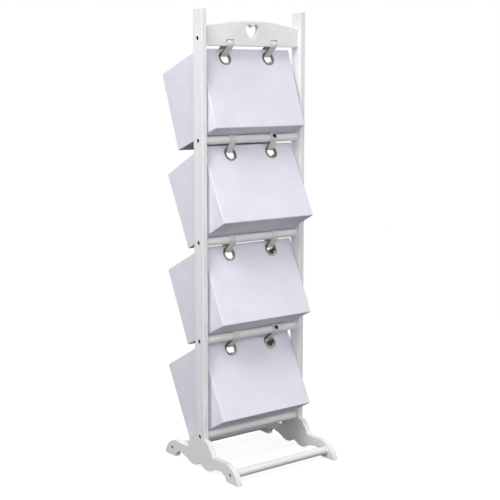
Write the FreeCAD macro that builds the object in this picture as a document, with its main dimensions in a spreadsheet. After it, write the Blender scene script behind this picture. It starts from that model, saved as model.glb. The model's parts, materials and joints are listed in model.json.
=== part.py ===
"""Newspaper rack: a white wooden ladder frame with four tilting fabric baskets.

Frame of reference: millimetres, +Z up, origin on the floor at the middle of the rack.
-Y is the side with the eyelets and straps, +Y the side towards which the baskets open.

Each basket has its own local frame: its origin is on the axis of the bar that carries it,
local Y runs along the basket's mouth away from the eyelet wall, local Z runs up that wall.
"""
import FreeCAD, Part
import math
import os

import Sketcher
from FreeCAD import Placement, Rotation, Vector

TINY = 1e-4
BASKETS = (1, 2, 3, 4)
SIDES = {"left": -1, "right": 1}
STUD_IN_FRONT = {(2, "right"), (4, "right")}

DIMENSIONS = {
    # frame
    "rack_width": 350, "rack_depth": 350, "rack_height": 1246,
    "post_thick": 16, "post_deep": 41, "foot_height": 84,
    "edge_radius": 2, "slot_edge_radius": 1,
    "rail_thick": 16, "rail_bottom": 1150, "rail_end_top": 1199, "rail_crown_top": 1217.5,
    "rail_screw_height": 1169,
    "bar_diameter": 22,
    "crossbar_height_1": 901, "crossbar_height_2": 628,
    "crossbar_height_3": 358, "crossbar_height_4": 91,
    "foot_bar_height": 22.5, "foot_bar_reach": 140.3,
    # cut-outs in the head rail
    "slot_spacing": 149, "slot_width": 25, "slot_high": 6.5, "slot_web": 11,
    "heart_width": 45, "heart_high": 41, "heart_tip_height": 1166.5,
    # screws and bolts
    "post_screw_head_radius": 5.6, "foot_screw_head_radius": 4.6, "screw_shank_radius": 2.5,
    "screw_long": 46, "screw_head_thick": 3, "counterbore_gap": 0.3, "counterbore_deep": 4.5,
    "bolt_radius": 3, "bolt_head_radius": 5, "bolt_head_thick": 4, "bolt_long": 100,
    "bolt_spacing": 24, "bolt_seat_height": 22,
    "socket_width_ratio": 0.95, "socket_depth_ratio": 0.7,
    "foot_notch_height": 13, "foot_notch_radius": 3.5,
    # baskets
    "basket_width": 304, "basket_high": 222, "basket_deep": 192,
    "skin_thick": 0.9, "board_thick": 2.5,
    "tilt_1": 20.4, "tilt_2": 27, "tilt_3": 26, "tilt_4": 28.6,
    "shift_1": -1, "shift_2": 1, "shift_3": 3, "shift_4": 5,
    "wall_offset_1": 28, "wall_offset_2": 20, "wall_offset_3": 25, "wall_offset_4": 35,
    # eyelets, straps and press studs
    "eyelet_spacing_1": 147, "eyelet_spacing_2": 140,
    "eyelet_spacing_3": 146, "eyelet_spacing_4": 138,
    "eyelet_shift_1": 0, "eyelet_shift_2": 2, "eyelet_shift_3": 2, "eyelet_shift_4": 8,
    "eyelet_drop": 26.5, "eyelet_radius": 20, "eyelet_hole_radius": 13.8,
    "eyelet_flange": 1.5, "eyelet_barrel": 1.0, "eyelet_rounding": 1.2, "fit_gap": 0.05,
    "strap_width": 20, "strap_thick": 1.4, "strap_bar_radius": 12, "strap_rail_radius": 10.1,
    "strap_bend_radius": 4.6, "strap_bend_drop": 13.7, "strap_top_drop": 2.2,
    "stud_cap_radius": 6, "stud_cap_thick": 2.4, "stud_plate_radius": 3.6,
    "stud_plate_thick": 0.6, "stud_post_radius": 1.6, "stud_plate_gap": 0.1,
    "stud_cap_gap": 0.1, "stud_post_sink": 0.5, "stud_cap_rounding": 1.44,
    "rest_gap": 0.4, "cutter_reach": 5,
}

document = FreeCAD.newDocument("newspaper_rack")
sheet = document.addObject("Spreadsheet::Sheet", "Dims")
for row, (alias, number) in enumerate(DIMENSIONS.items(), start=1):
    sheet.set(f"A{row}", alias)
    sheet.set(f"B{row}", str(number))
    sheet.setAlias(f"B{row}", alias)
document.recompute()


def dim(alias):
    """The number in a cell of the sheet."""
    return float(sheet.get(alias))


def evaluate(expression):
    """The number that an expression of the sheet's cells comes to."""
    return float(sheet.evalExpression(expression))


def bind(item, **expressions):
    """Bind properties of an object to expressions of the sheet's cells."""
    for name, text in expressions.items():
        item.setExpression(name, text)
    return item


subparts = []


def subpart(item, name, placement=None):
    """Name an object as a sub-part of the rack, and put it in its place."""
    if placement is not None:
        item.Placement = placement
    item.Label = name
    subparts.append(item)
    return item


# ---------------------------------------------------------------- building blocks

def box(name, size, corner):
    """A box whose three sizes are bound to expressions, with its lowest corner at a point."""
    item = document.addObject("Part::Box", name)
    bind(item, Length=size[0], Width=size[1], Height=size[2])
    item.Placement.Base = Vector(*corner)
    return item


def cylinder(name, radius, long, start, direction):
    """A cylinder of a bound radius and length, from a start point along a direction."""
    item = document.addObject("Part::Cylinder", name)
    bind(item, Radius=radius, Height=long)
    turn = Rotation(Vector(0, 0, 1), Vector(*direction))
    item.Placement = Placement(Vector(*start), turn)
    return item


def cut(name, base, tools):
    """The base with all the tools cut out of it."""
    if len(tools) == 1:
        tool = tools[0]
    else:
        tool = document.addObject("Part::MultiFuse", name + "_tools")
        tool.Shapes = tools
    item = document.addObject("Part::Cut", name)
    item.Base = base
    item.Tool = tool
    return item


def grouped_solids(name, shapes, placement=None):
    """One object holding several equal fasteners as separate solids."""
    item = document.addObject("Part::Feature", name)
    item.Shape = Part.makeCompound(shapes)
    return subpart(item, name, placement)


def new_body(name):
    return document.addObject("PartDesign::Body", name + "_body")


def body_sketch(name, plane_role):
    """A body and an empty sketch on one of the body's own origin planes."""
    body = new_body(name)
    sketch = body.newObject("Sketcher::SketchObject", name + "_outline")
    plane = next(item for item in body.Origin.OriginFeatures if item.Role == plane_role)
    sketch.AttachmentSupport = (plane, [""])
    sketch.MapMode = "FlatFace"
    return body, sketch


def round_edges(body, name, radius, wanted):
    """Round those edges of a body's last feature for which a test of the edge holds."""
    document.recompute()
    feature = body.Tip
    names = [f"Edge{number}" for number, edge in enumerate(feature.Shape.Edges, start=1)
             if wanted(edge)]
    rounding = body.newObject("PartDesign::Fillet", name)
    rounding.Base = (feature, names)
    bind(rounding, Radius=radius)


def lies_in(edge, axis, level):
    """True if the whole edge is at one level along an axis, "X", "Y" or "Z"."""
    low = getattr(edge.BoundBox, axis + "Min")
    high = getattr(edge.BoundBox, axis + "Max")
    return abs(low - level) < TINY and abs(high - level) < TINY


def pad_both_ways(body, sketch, name, thickness):
    """Pad a sketch to a bound thickness, half of it to each side of its plane."""
    pad = body.newObject("PartDesign::Pad", name + "_pad")
    pad.Profile = sketch
    pad.Midplane = True
    bind(pad, Length=thickness)
    sketch.Visibility = False
    return body


def curve(points):
    """A line through 2 points, or an arc through 3, given by two coordinates each."""
    vectors = [Vector(u, v, 0) for u, v in points]
    return Part.LineSegment(*vectors) if len(points) == 2 else Part.Arc(*vectors)


def add_loop(sketch, pieces):
    """Add a closed loop of lines (2 points) and arcs (3 points) to a sketch."""
    for points in pieces:
        sketch.addGeometry(curve(points), False)


def mirrored_loop(half):
    """A half outline, drawn from the mirror line and back to it, and its mirror image."""
    other = [[(-u, v) for u, v in reversed(points)] for points in reversed(half)]
    return half + other


# ---------------------------------------------------------------- frame

half_width = dim("rack_width") / 2
half_depth = dim("rack_depth") / 2
post_thick = dim("post_thick")
inner_half = half_width - post_thick
bar_length = "Dims.rack_width - 2 * Dims.post_thick"
crossbar_heights = [dim(f"crossbar_height_{number}") for number in BASKETS]
post_screw_heights = [dim("rail_screw_height")] + crossbar_heights
foot_bar_centres = {"front": -dim("foot_bar_reach"), "rear": dim("foot_bar_reach")}


def side_screw_holes(name, side, y, z, head_cell):
    """A counterbore and a clearance hole through a side piece, from its outer face inwards."""
    outer = (side * half_width, y, z)
    inwards = (-side, 0, 0)
    return [
        cylinder(name + "_bore", "Dims.screw_shank_radius + Dims.fit_gap", "Dims.post_thick",
                 outer, inwards),
        cylinder(name + "_counterbore", f"Dims.{head_cell} + Dims.counterbore_gap",
                 "Dims.counterbore_deep", outer, inwards),
    ]


def end_screw_hole(name, side, y, z):
    """The hole for a screw in the end of a bar or of the head rail."""
    return cylinder(name, "Dims.screw_shank_radius + Dims.fit_gap",
                    "Dims.screw_long - Dims.post_thick + Dims.counterbore_deep",
                    (side * inner_half, y, z), (-side, 0, 0))


def bolt_places(side):
    """The plan positions of the two bolts that join a foot and its post."""
    return [(side * (half_width - post_thick / 2), end * dim("bolt_spacing") / 2)
            for end in (-1, 1)]


def bolt_holes(name, side, radius, top):
    """Upright holes for the bolts, from the floor up to a height."""
    return [cylinder(f"{name}_bolt_hole_{number}", radius + " + Dims.fit_gap", top,
                     (x, y, 0), (0, 0, 1))
            for number, (x, y) in enumerate(bolt_places(side))]


def make_post(side_name, side):
    name = side_name + "_post"
    body = new_body(name)
    blank = body.newObject("PartDesign::AdditiveBox", name + "_blank")
    bind(blank, Length="Dims.post_thick", Width="Dims.post_deep",
         Height="Dims.rack_height - Dims.foot_height")
    round_edges(body, name + "_rounding", "Dims.edge_radius", lambda edge: not lies_in(edge, "Z", 0))
    corner_x = min(side * half_width, side * inner_half)
    body.Placement.Base = Vector(corner_x, -dim("post_deep") / 2, dim("foot_height"))
    tools = []
    for number, height in enumerate(post_screw_heights):
        tools += side_screw_holes(f"{name}_hole_{number}", side, 0, height,
                                  "post_screw_head_radius")
    tools += bolt_holes(name, side, "Dims.bolt_radius", "Dims.bolt_seat_height + Dims.bolt_long")
    subpart(cut(name, body, tools), name)


def foot_half_outline():
    """Half of a foot's side view: along the top from the middle to the toe, back underneath.

    The top steps down in two rounded shoulders to a long toe. The underside is a pad under
    the toe, a hollow behind it, and a lobe beside a small half-round notch in the middle.
    """
    top = dim("foot_height")
    toe = half_depth
    notch = dim("foot_notch_height")
    groove = dim("foot_notch_radius")
    return [
        [(0, top), (24, top)],
        [(24, top), (37, 79), (42, 69.5)],
        [(42, 69.5), (53.5, 60), (57.5, 47)],
        [(57.5, 47), (88, 46), (118, 47.5)],
        [(118, 47.5), (156, 33), (toe, 0)],
        [(toe, 0), (122.5, 0)],
        [(122.5, 0), (120.5, 9), (112, 14.5)],
        [(112, 14.5), (104, 20), (91, 20)],
        [(91, 20), (71, 16), (50, 7)],
        [(50, 7), (31, 4), (14, 8)],
        [(14, 8), (9, notch - 1.5), (groove, notch)],
        [(groove, notch), (groove * 0.7, notch + groove * 0.7), (0, notch + groove)],
    ]


def make_foot(side_name, side):
    name = side_name + "_foot"
    body, sketch = body_sketch(name, "YZ_Plane")
    add_loop(sketch, mirrored_loop(foot_half_outline()))
    pad_both_ways(body, sketch, name, "Dims.post_thick")
    body.Placement.Base = Vector(side * (half_width - post_thick / 2), 0, 0)
    tools = []
    for end, y in foot_bar_centres.items():
        tools += side_screw_holes(f"{name}_{end}_hole", side, y, dim("foot_bar_height"),
                                  "foot_screw_head_radius")
    tools += bolt_holes(name, side, "Dims.bolt_radius", "Dims.foot_height + 1")
    tools += bolt_holes(name + "_head", side, "Dims.bolt_head_radius", "Dims.bolt_seat_height")
    subpart(cut(name, body, tools), name)


def heart_loop():
    """The heart cut-out: two round lobes that run down in gentle curves to a tip."""
    half = dim("heart_width") / 2
    tip = dim("heart_tip_height")
    top = tip + dim("heart_high")
    lobe = half / 2
    shoulder = top - lobe
    right = [
        [(0, shoulder + lobe * 0.35), (lobe * 1.05, top), (half, shoulder)],
        [(half, shoulder), (half * 0.66, tip + (shoulder - tip) * 0.42), (0, tip)],
    ]
    return mirrored_loop(right)


def make_head_rail():
    name = "head_rail"
    body, sketch = body_sketch(name, "XZ_Plane")
    bottom = dim("rail_bottom")
    end_top = dim("rail_end_top")
    crown = dim("rail_crown_top")
    add_loop(sketch, [
        [(-inner_half, bottom), (inner_half, bottom)],
        [(inner_half, bottom), (inner_half, end_top)],
        [(inner_half, end_top), (0, crown), (-inner_half, end_top)],
        [(-inner_half, end_top), (-inner_half, bottom)],
    ])
    slot_bottom = bottom + dim("slot_web")
    slot_top = slot_bottom + dim("slot_high")
    for side in SIDES.values():
        near = side * dim("slot_spacing") / 2 - dim("slot_width") / 2
        far = near + dim("slot_width")
        add_loop(sketch, [
            [(near, slot_bottom), (far, slot_bottom)], [(far, slot_bottom), (far, slot_top)],
            [(far, slot_top), (near, slot_top)], [(near, slot_top), (near, slot_bottom)],
        ])
    add_loop(sketch, heart_loop())
    pad_both_ways(body, sketch, name, "Dims.rail_thick")

    def on_face(edge):
        return any(lies_in(edge, "Y", end * dim("rail_thick") / 2) for end in (-1, 1))

    def of_slot(edge):
        limits = edge.BoundBox
        return slot_bottom - TINY < limits.ZMin and limits.ZMax < slot_top + TINY

    def of_outside(edge):
        return lies_in(edge, "Z", bottom) or edge.BoundBox.ZMax > crown - TINY

    round_edges(body, name + "_rounding", "Dims.edge_radius",
                lambda edge: on_face(edge) and of_outside(edge))
    round_edges(body, name + "_slot_rounding", "Dims.slot_edge_radius",
                lambda edge: on_face(edge) and of_slot(edge))
    tools = [end_screw_hole(f"{name}_{side_name}_hole", side, 0, dim("rail_screw_height"))
             for side_name, side in SIDES.items()]
    subpart(cut(name, body, tools), name)


def make_bar(name, y, z):
    blank = cylinder(name + "_blank", "Dims.bar_diameter / 2", bar_length,
                     (-inner_half, y, z), (1, 0, 0))
    tools = [end_screw_hole(f"{name}_{side_name}_hole", side, y, z)
             for side_name, side in SIDES.items()]
    subpart(cut(name, blank, tools), name)


def hex_socket(across, deep, start, direction):
    """A hexagonal key socket, as a prism to cut from a screw's head."""
    corners = [Vector(across / math.sqrt(3) * math.cos(math.radians(60 * k)),
                      across / math.sqrt(3) * math.sin(math.radians(60 * k)), 0) for k in range(7)]
    prism = Part.Face(Part.makePolygon(corners)).extrude(Vector(0, 0, deep))
    prism.Placement = Placement(Vector(*start), Rotation(Vector(0, 0, 1), Vector(*direction)))
    return prism


def screw_shape(head_radius, head_thick, shank_radius, long, start, direction):
    """A round-headed screw with a key socket: it starts at its head's face."""
    start, direction = Vector(*start), Vector(*direction)
    head = Part.makeCylinder(head_radius, head_thick, start, direction)
    shank = Part.makeCylinder(shank_radius, long, start, direction)
    screw = head.fuse(shank).removeSplitter()
    across = head_radius * dim("socket_width_ratio")
    return screw.cut(hex_socket(across, head_thick * dim("socket_depth_ratio"), start, direction))


def side_screws(side, places, head_cell):
    """The screws of one side, sunk in their counterbores and pointing inwards."""
    head_face = half_width - dim("counterbore_deep") + dim("screw_head_thick")
    return [screw_shape(dim(head_cell), dim("screw_head_thick"),
                        dim("screw_shank_radius"), dim("screw_long"),
                        (side * head_face, y, z), (-side, 0, 0)) for y, z in places]


def foot_bolts(side):
    """The long bolts from a foot's underside up into its post."""
    head_face = dim("bolt_seat_height") - dim("bolt_head_thick")
    return [screw_shape(dim("bolt_head_radius"), dim("bolt_head_thick"), dim("bolt_radius"),
                        dim("bolt_long"), (x, y, head_face), (0, 0, 1))
            for x, y in bolt_places(side)]


def make_frame():
    for side_name, side in SIDES.items():
        make_post(side_name, side)
        make_foot(side_name, side)
        grouped_solids(side_name + "_post_screws",
                       side_screws(side, [(0, height) for height in post_screw_heights],
                                   "post_screw_head_radius"))
    make_head_rail()
    for number, height in zip(BASKETS, crossbar_heights):
        make_bar(f"crossbar_{number}", 0, height)
    for end, y in foot_bar_centres.items():
        make_bar(end + "_foot_bar", y, dim("foot_bar_height"))
    foot_places = [(y, dim("foot_bar_height")) for y in foot_bar_centres.values()]
    grouped_solids("foot_bar_screws",
                   [screw for side in SIDES.values()
                    for screw in side_screws(side, foot_places, "foot_screw_head_radius")])
    grouped_solids("foot_bolts", [bolt for side in SIDES.values() for bolt in foot_bolts(side)])


# ---------------------------------------------------------------- baskets

skin = dim("skin_thick")
board = dim("board_thick")
wall = 2 * skin + board
basket_width = dim("basket_width")
basket_high = dim("basket_high")
basket_deep = dim("basket_deep")
rail_web_centre = dim("rail_bottom") + dim("slot_web") / 2


def hinge_height(number):
    """The height of the axis that a basket's straps turn about."""
    return rail_web_centre if number == 1 else dim(f"crossbar_height_{number - 1}")


def basket_frame(number):
    """The basket's local frame: tilted about the axis that it hangs from."""
    place = Vector(dim(f"shift_{number}"), 0, hinge_height(number))
    return Placement(place, Rotation(Vector(1, 0, 0), -dim(f"tilt_{number}")))


def rim_expression(number):
    """The local height of the rim, such that the bottom rests on the crossbar below.

    Straps of the next basket lie between the bottom and the bar, except on the lowest bar.
    """
    above = "(Dims.rail_bottom + Dims.slot_web / 2)" if number == 1 else (
        f"Dims.crossbar_height_{number - 1}")
    straps = "0" if number == BASKETS[-1] else (
        "Dims.strap_bar_radius + Dims.strap_thick - Dims.bar_diameter / 2")
    return (f"Dims.basket_high + Dims.bar_diameter / 2 + {straps} + Dims.rest_gap"
            f" - ({above} - Dims.crossbar_height_{number}) * cos(Dims.tilt_{number})")


def rim_level(number):
    return evaluate(rim_expression(number))


def eyelet_centre(number, side):
    """Where an eyelet and its strap stand along the basket's width."""
    return dim(f"eyelet_shift_{number}") + side * dim(f"eyelet_spacing_{number}") / 2


def wall_hole(name, side, number, radius):
    """A hole along local Y through the eyelet wall, at one eyelet."""
    near = dim(f"wall_offset_{number}") - dim("cutter_reach")
    start = (eyelet_centre(number, side), near, rim_level(number) - dim("eyelet_drop"))
    return cylinder(name, radius, "2 * (Dims.cutter_reach + Dims.skin_thick) + Dims.board_thick",
                    start, (0, 1, 0))


def eyelet_holes(name, number):
    return [wall_hole(f"{name}_{side_name}_hole", side, number,
                      "Dims.eyelet_hole_radius + Dims.eyelet_barrel + Dims.fit_gap")
            for side_name, side in SIDES.items()]


def make_skins(number, placement):
    """The outer cover, folded over the rim, and the lining inside the boards."""
    name = f"basket_{number}_cover"
    near = dim(f"wall_offset_{number}")
    rim = rim_level(number)
    floor = rim - basket_high
    outer = box(name + "_outside", ("Dims.basket_width", "Dims.basket_deep", "Dims.basket_high"),
                (-basket_width / 2, near, floor))
    boards = box(name + "_board_space",
                 ("Dims.basket_width - 2 * Dims.skin_thick",
                  "Dims.basket_deep - 2 * Dims.skin_thick",
                  "Dims.basket_high - 2 * Dims.skin_thick"),
                 (-basket_width / 2 + skin, near + skin, floor + skin))
    inner_size = ("Dims.basket_width - 4 * Dims.skin_thick - 2 * Dims.board_thick",
                  "Dims.basket_deep - 4 * Dims.skin_thick - 2 * Dims.board_thick",
                  "Dims.basket_high")
    mouth = box(name + "_mouth", inner_size, (-basket_width / 2 + wall, near + wall, floor + wall))
    subpart(cut(name, outer, [boards, mouth] + eyelet_holes(name, number)), name, placement)

    name = f"basket_{number}_lining"
    inset = skin + board
    outside = box(name + "_outside",
                  ("Dims.basket_width - 2 * Dims.skin_thick - 2 * Dims.board_thick",
                   "Dims.basket_deep - 2 * Dims.skin_thick - 2 * Dims.board_thick",
                   "Dims.basket_high - 2 * Dims.skin_thick - Dims.board_thick"),
                  (-basket_width / 2 + inset, near + inset, floor + inset))
    inside = box(name + "_inside", inner_size,
                 (-basket_width / 2 + wall, near + wall, floor + wall))
    subpart(cut(name, outside, [inside] + eyelet_holes(name, number)), name, placement)


def make_boards(number, placement):
    """The stiffening boards between cover and lining."""
    near = dim(f"wall_offset_{number}")
    floor = rim_level(number) - basket_high + skin
    long = "Dims.basket_width - 2 * Dims.skin_thick"
    high = "Dims.basket_high - 2 * Dims.skin_thick"
    across = "Dims.basket_deep - 2 * Dims.skin_thick - 2 * Dims.board_thick"
    edge = -basket_width / 2 + skin

    name = f"basket_{number}_eyelet_board"
    blank = box(name + "_blank", (long, "Dims.board_thick", high), (edge, near + skin, floor))
    subpart(cut(name, blank, eyelet_holes(name, number)), name, placement)

    name = f"basket_{number}_front_board"
    far = near + basket_deep - skin - board
    frame_at = Placement(placement)
    front = box(name, (long, "Dims.board_thick", high), (0, 0, 0))
    subpart(front, name, frame_at.multiply(Placement(Vector(edge, far, floor), Rotation())))

    name = f"basket_{number}_end_boards"
    ends = [box(f"{name}_{side_name}", ("Dims.board_thick", across, high),
                (side * (basket_width / 2 - skin - board / 2) - board / 2,
                 near + skin + board, floor))
            for side_name, side in SIDES.items()]
    pair = document.addObject("Part::Compound", name)
    pair.Links = ends
    subpart(pair, name, placement)

    name = f"basket_{number}_base_board"
    base = box(name, (long + " - 2 * Dims.board_thick", across, "Dims.board_thick"), (0, 0, 0))
    corner = Placement(Vector(edge + board, near + skin + board, floor), Rotation())
    subpart(base, name, placement.multiply(corner))


def tangent_normal(start, end):
    """The angle of the outward normal of the outer tangent from one circle to the next."""
    (y0, z0, radius0), (y1, z1, radius1) = start, end
    along = math.atan2(z1 - z0, y1 - y0)
    lean = math.asin((radius0 - radius1) / math.hypot(y1 - y0, z1 - z0))
    return along - math.pi / 2 + lean


def add_belt(sketch, circles, expressions, label):
    """A belt round circles given anticlockwise, each with expressions for centre and radius.

    The first circle is centred on the sketch's origin.
    """
    count = len(circles)
    leaving = [tangent_normal(circles[k], circles[(k + 1) % count]) for k in range(count)]
    first = sketch.GeometryCount
    for k, (y, z, radius) in enumerate(circles):
        begin, finish = leaving[k - 1], leaving[k]
        while finish < begin:
            finish += 2 * math.pi
        circle = Part.Circle(Vector(y, z, 0), Vector(0, 0, 1), radius)
        sketch.addGeometry(Part.ArcOfCircle(circle, begin, finish), False)
        y1, z1, radius1 = circles[(k + 1) % count]
        outwards = Vector(math.cos(leaving[k]), math.sin(leaving[k]), 0)
        sketch.addGeometry(Part.LineSegment(Vector(y, z, 0) + outwards * radius,
                                            Vector(y1, z1, 0) + outwards * radius1), False)
    for k in range(count):
        arc = first + 2 * k
        following = first + (2 * k + 2) % (2 * count)
        sketch.addConstraint(Sketcher.Constraint("Tangent", arc, 2, arc + 1, 1))
        sketch.addConstraint(Sketcher.Constraint("Tangent", arc + 1, 2, following, 1))
        y, z, radius = circles[k]
        if k == 0:
            sketch.addConstraint(Sketcher.Constraint("Coincident", arc, 3, -1, 1))
        measures = {"Radius": (arc, radius), "DistanceX": (-1, 1, arc, 3, y),
                    "DistanceY": (-1, 1, arc, 3, z)}
        for kind, expression in expressions[k].items():
            index = sketch.addConstraint(Sketcher.Constraint(kind, *measures[kind]))
            constraint = f"{label}_{kind}_{k}"
            sketch.renameConstraint(index, constraint)
            sketch.setExpression("Constraints." + constraint, expression)


def stud_place(number, side_name):
    """Where a press stud's inner plate lies on its strap: height, depth, direction outwards."""
    sunk = dim("stud_plate_thick") + dim("stud_plate_gap")
    if (number, side_name) in STUD_IN_FRONT:
        return 0.0, sunk - dim("strap_bar_radius"), -1
    middle = dim(f"wall_offset_{number}") + wall / 2
    level = rim_level(number) - (dim("strap_top_drop") + dim("strap_bend_drop")) / 2
    return level, middle + dim("strap_bend_radius") - sunk, 1


def make_strap(number, side_name, side, placement):
    """A strap round the bar, over the eyelet wall's edge, and through the eyelet."""
    name = f"basket_{number}_{side_name}_strap"
    body, sketch = body_sketch(name, "YZ_Plane")
    rim = rim_level(number)
    bar_cell = "Dims.strap_rail_radius" if number == 1 else "Dims.strap_bar_radius"
    hub = dim(bar_cell.split(".")[1])
    middle = dim(f"wall_offset_{number}") + wall / 2
    middle_cell = f"Dims.wall_offset_{number} + Dims.skin_thick + Dims.board_thick / 2"
    bend = dim("strap_bend_radius")
    low, high = rim - dim("strap_bend_drop"), rim - dim("strap_top_drop")
    for label, extra, plus in (("inner", 0, ""), ("outer", dim("strap_thick"),
                                                  " + Dims.strap_thick")):
        circles = [(0, 0, hub + extra), (middle, low, bend + extra), (middle, high, bend + extra)]
        bend_cell = "Dims.strap_bend_radius" + plus
        expressions = [
            {"Radius": bar_cell + plus},
            {"Radius": bend_cell, "DistanceX": middle_cell,
             "DistanceY": f"{rim_expression(number)} - Dims.strap_bend_drop"},
            {"Radius": bend_cell, "DistanceX": middle_cell,
             "DistanceY": f"{rim_expression(number)} - Dims.strap_top_drop"},
        ]
        add_belt(sketch, circles, expressions, label)
    pad_both_ways(body, sketch, name, "Dims.strap_width")
    level, depth, outwards = stud_place(number, side_name)
    tools = [
        cylinder(name + "_stud_hole", "Dims.stud_post_radius + Dims.fit_gap", "Dims.cutter_reach",
                 (0, depth, level), (0, outwards, 0)),
        cylinder(name + "_stud_seat", "Dims.stud_plate_radius + Dims.fit_gap",
                 "Dims.stud_plate_thick + Dims.fit_gap", (0, depth, level), (0, outwards, 0)),
    ]
    place = placement.multiply(Placement(Vector(eyelet_centre(number, side), 0, 0), Rotation()))
    subpart(cut(name, body, tools), name, place)


def stud_shape(number, side_name, side):
    """A press stud: inner plate, post through the strap, and domed outer cap."""
    level, depth, outwards = stud_place(number, side_name)
    start = Vector(eyelet_centre(number, side), depth, level)
    axis = Vector(0, outwards, 0)
    plate = Part.makeCylinder(dim("stud_plate_radius"), dim("stud_plate_thick"), start, axis)
    cap_depth = (dim("stud_plate_thick") + dim("stud_plate_gap") + dim("strap_thick")
                 + dim("stud_cap_gap"))
    cap_start = start + axis * cap_depth
    post = Part.makeCylinder(dim("stud_post_radius"), cap_depth + dim("stud_post_sink"),
                             start, axis)
    cap = Part.makeCylinder(dim("stud_cap_radius"), dim("stud_cap_thick"), cap_start, axis)
    far_rim = [edge for edge in cap.Edges
               if isinstance(edge.Curve, Part.Circle)
               and abs((edge.Curve.Center - cap_start).dot(axis) - dim("stud_cap_thick")) < TINY]
    cap = cap.makeFillet(dim("stud_cap_rounding"), far_rim)
    return plate.fuse([post, cap])


def eyelet_half_profile():
    """Half of an eyelet's section, as depth from the middle of the wall and radius.

    It runs from the bore over a flange's rounded edges and back under it to the barrel.
    """
    bore, rim = dim("eyelet_hole_radius"), dim("eyelet_radius")
    under = wall / 2
    face = under + dim("eyelet_flange")
    barrel = bore + dim("eyelet_barrel")
    rounding = dim("eyelet_rounding")
    inset = rounding * (1 - math.sqrt(0.5))
    return [
        [(0, bore), (face - rounding, bore)],
        [(face - rounding, bore), (face - inset, bore + inset), (face, bore + rounding)],
        [(face, bore + rounding), (face, rim - rounding)],
        [(face, rim - rounding), (face - inset, rim - inset), (face - rounding, rim)],
        [(face - rounding, rim), (under, rim)],
        [(under, rim), (under, barrel)],
        [(under, barrel), (0, barrel)],
    ]


def eyelet_shape(number, side):
    """A metal eyelet: a barrel through the wall with a rounded flange on each face."""
    outline = [curve(points).toShape() for points in mirrored_loop(eyelet_half_profile())]
    profile = Part.Face(Part.Wire(outline))
    ring = profile.revolve(Vector(0, 0, 0), Vector(1, 0, 0), 360)
    ring.rotate(Vector(0, 0, 0), Vector(0, 0, 1), 90)
    ring.translate(Vector(eyelet_centre(number, side), dim(f"wall_offset_{number}") + wall / 2,
                          rim_level(number) - dim("eyelet_drop")))
    return ring


def centre_on_origin():
    """Move every sub-part so that the origin is under the middle of the whole rack's depth.

    The baskets reach out beyond the feet on one side, so the frame stands a little off centre.
    """
    box_of_all = Part.makeCompound([item.Shape for item in subparts]).BoundBox
    for item in subparts:
        item.Placement.Base = item.Placement.Base - Vector(0, box_of_all.Center.y, 0)
    print(f"frame stands at y = {-box_of_all.Center.y:.3f}")


def make_basket(number):
    placement = basket_frame(number)
    make_skins(number, placement)
    make_boards(number, placement)
    for side_name, side in SIDES.items():
        make_strap(number, side_name, side, placement)
    grouped_solids(f"basket_{number}_eyelets",
                   [eyelet_shape(number, side) for side in SIDES.values()], placement)
    grouped_solids(f"basket_{number}_press_studs",
                   [stud_shape(number, side_name, side) for side_name, side in SIDES.items()],
                   placement)


# ---------------------------------------------------------------- build, check and write

make_frame()
for basket in BASKETS:
    make_basket(basket)
document.recompute()
centre_on_origin()
document.recompute()

for item in document.Objects:
    if "Invalid" in item.State or "Error" in item.State:
        raise RuntimeError(f"{item.Label} failed: {item.State}")
os.makedirs("parts", exist_ok=True)
for item in subparts:
    if item.Shape.isNull() or not item.Shape.isValid():
        raise RuntimeError(f"{item.Label} has no valid shape")
for item in subparts:
    item.Shape.exportStep(f"parts/{item.Label}.step")
    print(f"{item.Label}: {len(item.Shape.Solids)} solid(s), {item.Shape.Volume:.0f} mm3")
print(len(subparts), "sub-parts")
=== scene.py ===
"""Looks of a newspaper rack: a white painted ladder frame and four tilting cloth baskets.

Metres, +Z up. -Y is the side with the eyelets and straps. A basket's own axes are X along its
width, Y along its depth away from the eyelet wall, and Z up that wall.
"""

import json
import math

import bmesh
import bpy
from mathutils import Matrix, Vector, noise


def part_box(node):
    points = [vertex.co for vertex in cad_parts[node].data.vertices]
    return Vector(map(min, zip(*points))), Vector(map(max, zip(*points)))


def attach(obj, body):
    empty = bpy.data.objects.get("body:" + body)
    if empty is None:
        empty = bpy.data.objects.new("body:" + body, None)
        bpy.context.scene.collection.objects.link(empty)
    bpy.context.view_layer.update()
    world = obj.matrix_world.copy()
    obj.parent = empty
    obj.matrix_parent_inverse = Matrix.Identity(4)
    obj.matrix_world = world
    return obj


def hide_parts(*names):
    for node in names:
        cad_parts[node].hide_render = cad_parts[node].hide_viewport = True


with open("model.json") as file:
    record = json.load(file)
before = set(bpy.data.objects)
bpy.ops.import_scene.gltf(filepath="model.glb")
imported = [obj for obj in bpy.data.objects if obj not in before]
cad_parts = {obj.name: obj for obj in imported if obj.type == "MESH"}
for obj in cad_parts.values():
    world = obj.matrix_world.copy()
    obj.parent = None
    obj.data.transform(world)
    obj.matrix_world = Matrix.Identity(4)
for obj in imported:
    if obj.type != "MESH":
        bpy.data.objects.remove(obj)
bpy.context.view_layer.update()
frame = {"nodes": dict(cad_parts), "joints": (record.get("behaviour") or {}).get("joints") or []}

MM = 0.001
SIDES = {"left": -1, "right": 1}
STUD_IN_FRONT = {("basket_2", "right"), ("basket_4", "right")}


# ---------------------------------------------------------------- material building blocks

def tone(red, green, blue, alpha=1.0):
    """A display colour from 0 to 255 as the linear colour that shaders use."""
    def channel(value):
        value /= 255
        return value / 12.92 if value <= 0.04045 else ((value + 0.055) / 1.055) ** 2.4
    return channel(red), channel(green), channel(blue), alpha


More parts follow.
